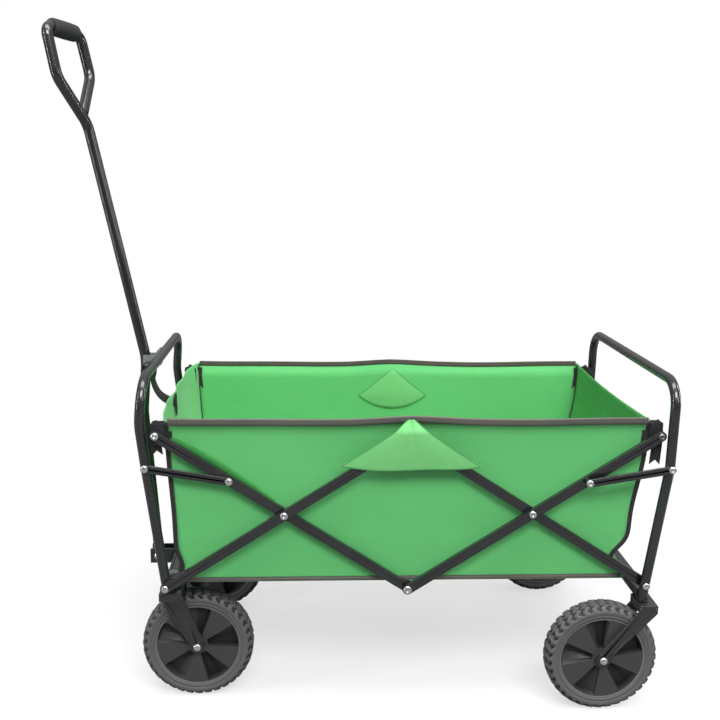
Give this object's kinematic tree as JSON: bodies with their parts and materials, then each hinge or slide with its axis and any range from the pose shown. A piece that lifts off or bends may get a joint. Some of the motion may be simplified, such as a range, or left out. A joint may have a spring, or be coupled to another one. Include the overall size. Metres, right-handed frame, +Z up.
{
  "type": "folding wagon with pull handle",
  "caption": "Open folding wagon: fabric tub hung in a scissor-sided tube frame, swivelling front castors, fixed rear wheels and an upright pull handle with a closed grip loop.",
  "frame": {"origin": "on the ground, under the middle of the whole object's box", "axes": "+X towards the rear, -X towards the pull handle, +Y towards the far side, +Z up"},
  "size_m": [1.0201, 0.518, 1.1175],
  "materials": {
    "black_tube": "gloss black powder coat",
    "black_pressing": "satin black powder coat",
    "zinc": "bright zinc plate",
    "plain_steel": "plain steel",
    "clip_plastic": "glossy dark grey plastic",
    "cap_plastic": "matt black plastic",
    "hub_plastic": "matt dark grey plastic",
    "tyre_rubber": "black rubber",
    "grip_foam": "matt black foam",
    "green_fabric": "bright green woven polyester",
    "green_inner": "green woven polyester, coated",
    "rim_webbing": "grey-brown webbing",
    "black_webbing": "black webbing"
  },
  "bodies": {
    "centre": {"centre_tube": "black_tube", "centre_rod": "plain_steel", "centre_heads": "zinc"},
    "front_arms": {"front_arms": "black_tube", "front_cross_rivets": "zinc", "front_arm_washers": "plain_steel"},
    "rear_arms": {"rear_arms": "black_tube", "rear_cross_rivets": "zinc"},
    "front_braces": {"front_braces": "black_tube", "upper_centre_rivets": "zinc"},
    "rear_braces": {"rear_braces": "black_tube"},
    "front_links": {"front_links": "black_tube", "front_link_rivets": "zinc"},
    "rear_links": {"rear_links": "black_tube", "rear_link_rivets": "zinc"},
    "front_corners": {"front_corner_caps": "cap_plastic", "front_corner_screws": "zinc"},
    "rear_corners": {"rear_corner_caps": "cap_plastic", "rear_corner_screws": "zinc"},
    "front_frame": {"front_hoop": "black_tube", "front_beam": "black_tube", "front_feet": "black_pressing", "front_foot_bolts": "zinc", "handle_bracket": "black_pressing", "handle_hinge_bolt": "zinc", "handle_clip": "clip_plastic"},
    "rear_frame": {"rear_hoop": "black_tube", "rear_beam": "black_tube", "rear_forks": "black_pressing", "rear_foot_bolts": "zinc", "rear_axles": "zinc"},
    "handle": {"handle_tube": "black_tube", "handle_grip": "grip_foam"},
    "castor_near": {"castor_near_fork": "black_pressing", "castor_near_kingpin": "plain_steel", "castor_near_axle": "zinc"},
    "castor_far": {"castor_far_fork": "black_pressing", "castor_far_kingpin": "plain_steel", "castor_far_axle": "zinc"},
    "wheel_front_near": {"wheel_front_near_hub": "hub_plastic", "wheel_front_near_tyre": "tyre_rubber"},
    "wheel_front_far": {"wheel_front_far_hub": "hub_plastic", "wheel_front_far_tyre": "tyre_rubber"},
    "wheel_rear_near": {"wheel_rear_near_hub": "hub_plastic", "wheel_rear_near_tyre": "tyre_rubber"},
    "wheel_rear_far": {"wheel_rear_far_hub": "hub_plastic", "wheel_rear_far_tyre": "tyre_rubber"},
    "tub": {"tub_side_near": "green_fabric", "tub_side_far": "green_fabric", "tub_front": "green_fabric", "tub_rear": "green_fabric", "tub_floor": "green_inner", "floor_boards": "green_inner", "rim_near": "rim_webbing", "rim_far": "rim_webbing", "flap_near": "green_fabric", "flap_far": "green_fabric", "tub_strap": "black_webbing"}
  },
  "joints": [
    {"name": "fold", "type": "hinge", "parent": "centre", "child": "front_arms", "pos_m": [0.084, 0, 0.212], "axis": [0, 1, 0], "range_deg": [0, 43], "deforming": ["tub_side_near", "tub_side_far", "tub_front", "tub_rear", "tub_floor", "floor_boards", "rim_near", "rim_far", "flap_near", "flap_far", "tub_strap"]},
    {"name": "front_scissor", "type": "hinge", "parent": "front_arms", "child": "front_braces", "pos_m": [-0.11628, 0, 0.34058], "axis": [0, 1, 0], "range_deg": [-86.5, 0]},
    {"name": "front_foot", "type": "hinge", "parent": "front_braces", "child": "front_frame", "pos_m": [-0.30814, 0, 0.2174], "axis": [0, 1, 0], "range_deg": [0, 43.5]},
    {"name": "front_link", "type": "hinge", "parent": "front_arms", "child": "front_links", "pos_m": [-0.20338, 0, 0.39649], "axis": [0, 1, 0], "range_deg": [-117.17, 0]},
    {"name": "front_corner", "type": "hinge", "parent": "front_arms", "child": "front_corners", "pos_m": [-0.31824, 0, 0.47024], "axis": [0, 1, 0], "range_deg": [-43.5, 0]},
    {"name": "rear_fold", "type": "hinge", "parent": "centre", "child": "rear_arms", "pos_m": [0.084, 0, 0.212], "axis": [0, 1, 0], "range_deg": [-43.5, 0]},
    {"name": "rear_scissor", "type": "hinge", "parent": "rear_arms", "child": "rear_braces", "pos_m": [0.28428, 0, 0.34058], "axis": [0, 1, 0], "range_deg": [0, 86.5]},
    {"name": "rear_foot", "type": "hinge", "parent": "rear_braces", "child": "rear_frame", "pos_m": [0.47614, 0, 0.2174], "axis": [0, 1, 0], "range_deg": [-43.5, 0]},
    {"name": "rear_link", "type": "hinge", "parent": "rear_arms", "child": "rear_links", "pos_m": [0.37138, 0, 0.39649], "axis": [0, 1, 0], "range_deg": [0, 117.17]},
    {"name": "rear_corner", "type": "hinge", "parent": "rear_arms", "child": "rear_corners", "pos_m": [0.48624, 0, 0.47024], "axis": [0, 1, 0], "range_deg": [0, 43.5]},
    {"name": "tub_rise", "type": "slide", "parent": "centre", "child": "tub", "axis": [0, 0, 1], "range_m": [0, 0.2061]},
    {"name": "handle_swing", "type": "hinge", "parent": "front_frame", "child": "handle", "pos_m": [-0.354, 0, 0.182], "axis": [0, 1, 0], "range_deg": [-78, 0]},
    {"name": "castor_near_swivel", "type": "hinge", "parent": "front_frame", "child": "castor_near", "pos_m": [-0.304, -0.1655, 0.2], "axis": [0, 0, 1], "continuous": true},
    {"name": "castor_far_swivel", "type": "hinge", "parent": "front_frame", "child": "castor_far", "pos_m": [-0.304, 0.1655, 0.2], "axis": [0, 0, 1], "continuous": true},
    {"name": "spin_front_near", "type": "hinge", "parent": "castor_near", "child": "wheel_front_near", "pos_m": [-0.264, -0.1655, 0.093], "axis": [0, 1, 0], "continuous": true},
    {"name": "spin_front_far", "type": "hinge", "parent": "castor_far", "child": "wheel_front_far", "pos_m": [-0.264, 0.1655, 0.093], "axis": [0, 1, 0], "continuous": true},
    {"name": "spin_rear_near", "type": "hinge", "parent": "rear_frame", "child": "wheel_rear_near", "pos_m": [0.409, -0.2285, 0.093], "axis": [0, 1, 0], "continuous": true},
    {"name": "spin_rear_far", "type": "hinge", "parent": "rear_frame", "child": "wheel_rear_far", "pos_m": [0.409, 0.2285, 0.093], "axis": [0, 1, 0], "continuous": true}
  ],
  "couplings": [
    {"joint": "front_scissor", "follows": "fold", "ratio": -2},
    {"joint": "front_foot", "follows": "fold", "ratio": 1},
    {"joint": "front_link", "follows": "fold", "ratio": -2.7132},
    {"joint": "front_corner", "follows": "fold", "ratio": -1},
    {"joint": "rear_fold", "follows": "fold", "ratio": -1},
    {"joint": "rear_scissor", "follows": "fold", "ratio": 2},
    {"joint": "rear_foot", "follows": "fold", "ratio": -1},
    {"joint": "rear_link", "follows": "fold", "ratio": 2.7132},
    {"joint": "rear_corner", "follows": "fold", "ratio": 1},
    {"joint": "tub_rise", "follows": "fold", "m_per_rad": 0.27195}
  ]
}
